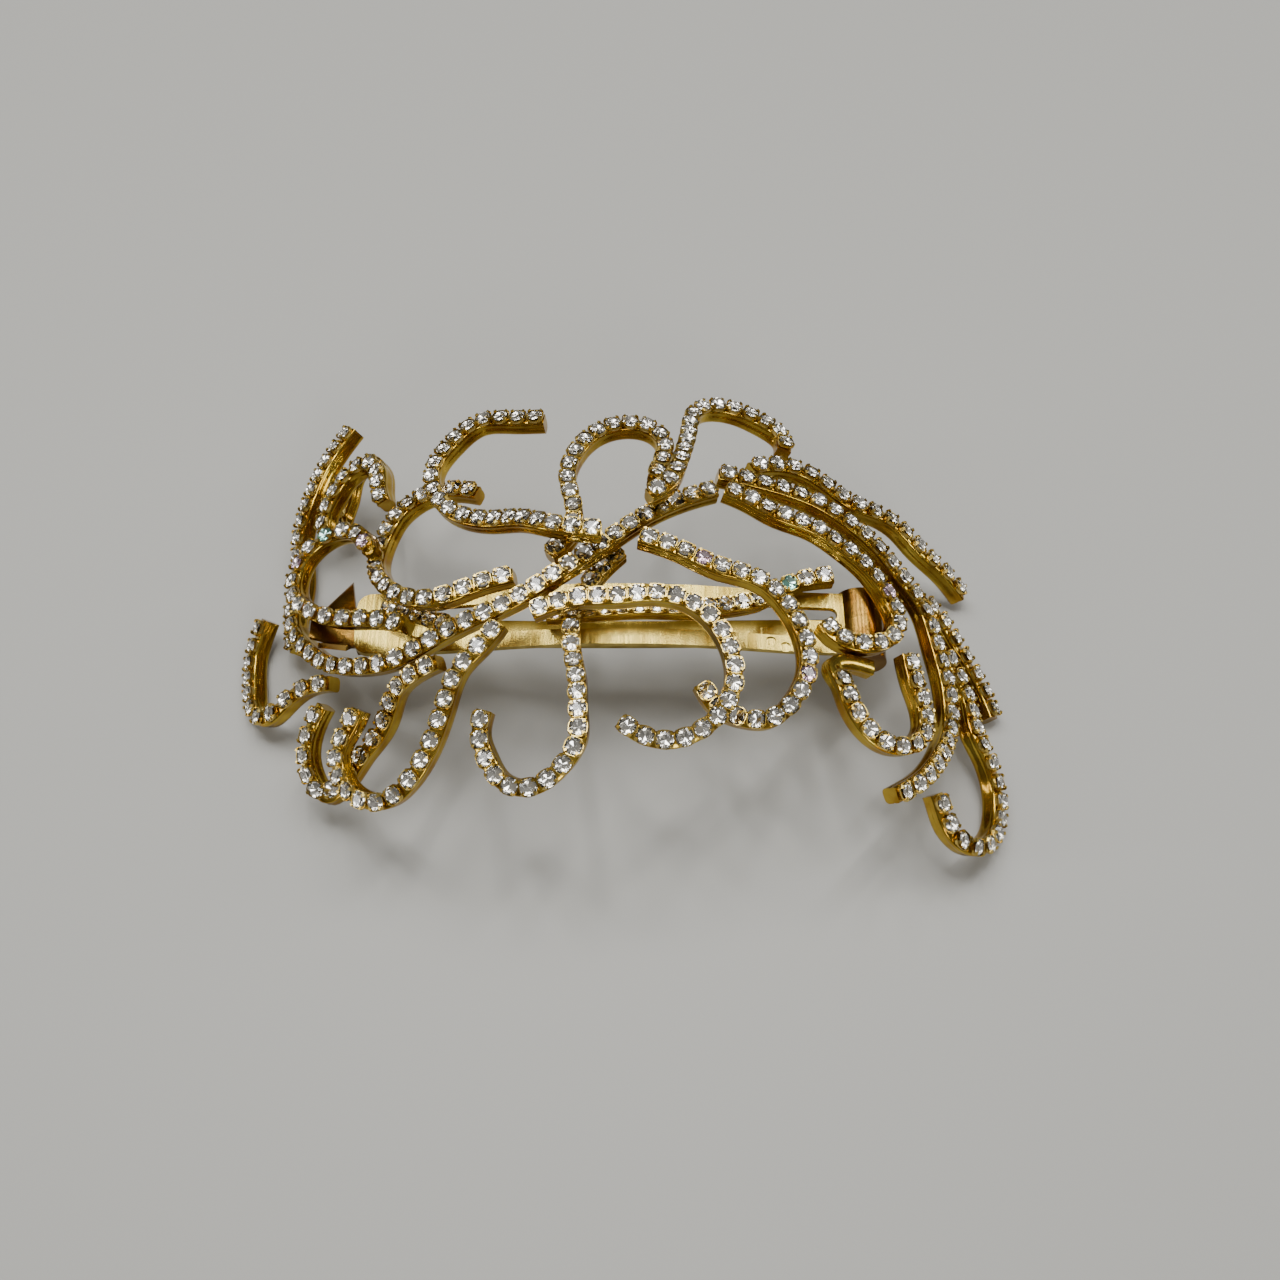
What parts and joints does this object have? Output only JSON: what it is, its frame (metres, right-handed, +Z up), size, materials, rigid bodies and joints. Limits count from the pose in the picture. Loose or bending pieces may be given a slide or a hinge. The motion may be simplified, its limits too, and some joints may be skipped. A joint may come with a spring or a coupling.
{
  "type": "hair barrette",
  "caption": "Curled spray of gold-tone metal bands, each carrying a chain of clear cut stones along its edge, on a hinged clip that clamps a lock of hair.",
  "frame": {"origin": "bottom centre of the barrette as it lies on a table", "axes": "+X along the clip towards its hinge, +Y across it to the far side, +Z up out of the stones' faces"},
  "size_m": [0.1028, 0.0652, 0.0298],
  "materials": {
    "gold_tone": "polished",
    "clip_gold": "brushed",
    "clear_stone": "polished"
  },
  "bodies": {
    "spray": {"catch": "clip_gold", "hinge_barrel": "clip_gold", "hinge_pin": "clip_gold", "left_end_curl_band": "gold_tone", "left_hook_band": "gold_tone", "left_inner_loop_band": "gold_tone", "left_outer_loop_band": "gold_tone", "left_outer_loop_stones": "clear_stone", "left_rung_band": "gold_tone", "left_stem_band": "gold_tone", "lower_curl_band": "gold_tone", "lower_curl_stones": "clear_stone", "lower_left_curl_band": "gold_tone", "lower_left_curl_stones": "clear_stone", "lower_left_loop_band": "gold_tone", "lower_middle_hook_band": "gold_tone", "lower_middle_hook_stones": "clear_stone", "lower_right_hook_band": "gold_tone", "lower_right_hook_stones": "clear_stone", "middle_bar_band": "gold_tone", "right_edge_band": "gold_tone", "right_hook_band": "gold_tone", "right_hook_stones": "clear_stone", "right_inner_loop_band": "gold_tone", "right_outer_loop_band": "gold_tone", "right_outer_loop_stones": "clear_stone", "right_sweep_band": "gold_tone", "right_sweep_stones": "clear_stone", "right_tendril_band": "gold_tone", "spine_band": "gold_tone", "spine_stones": "clear_stone", "top_curl_band": "gold_tone", "top_curl_stones": "clear_stone", "top_plate": "clip_gold", "upper_curl_band": "gold_tone", "upper_curl_stones": "clear_stone", "upper_left_loop_band": "gold_tone", "upper_left_loop_stones": "clear_stone", "upper_middle_hook_band": "gold_tone", "upper_middle_hook_stones": "clear_stone"},
    "arm": {"clasp_arm": "clip_gold"}
  },
  "joints": [
    {"name": "clasp_hinge", "type": "hinge", "parent": "spray", "child": "arm", "pos_m": [0.03209, -0.00282, 0.01049], "axis": [0, -1, 0], "range_deg": [0, 50]}
  ]
}
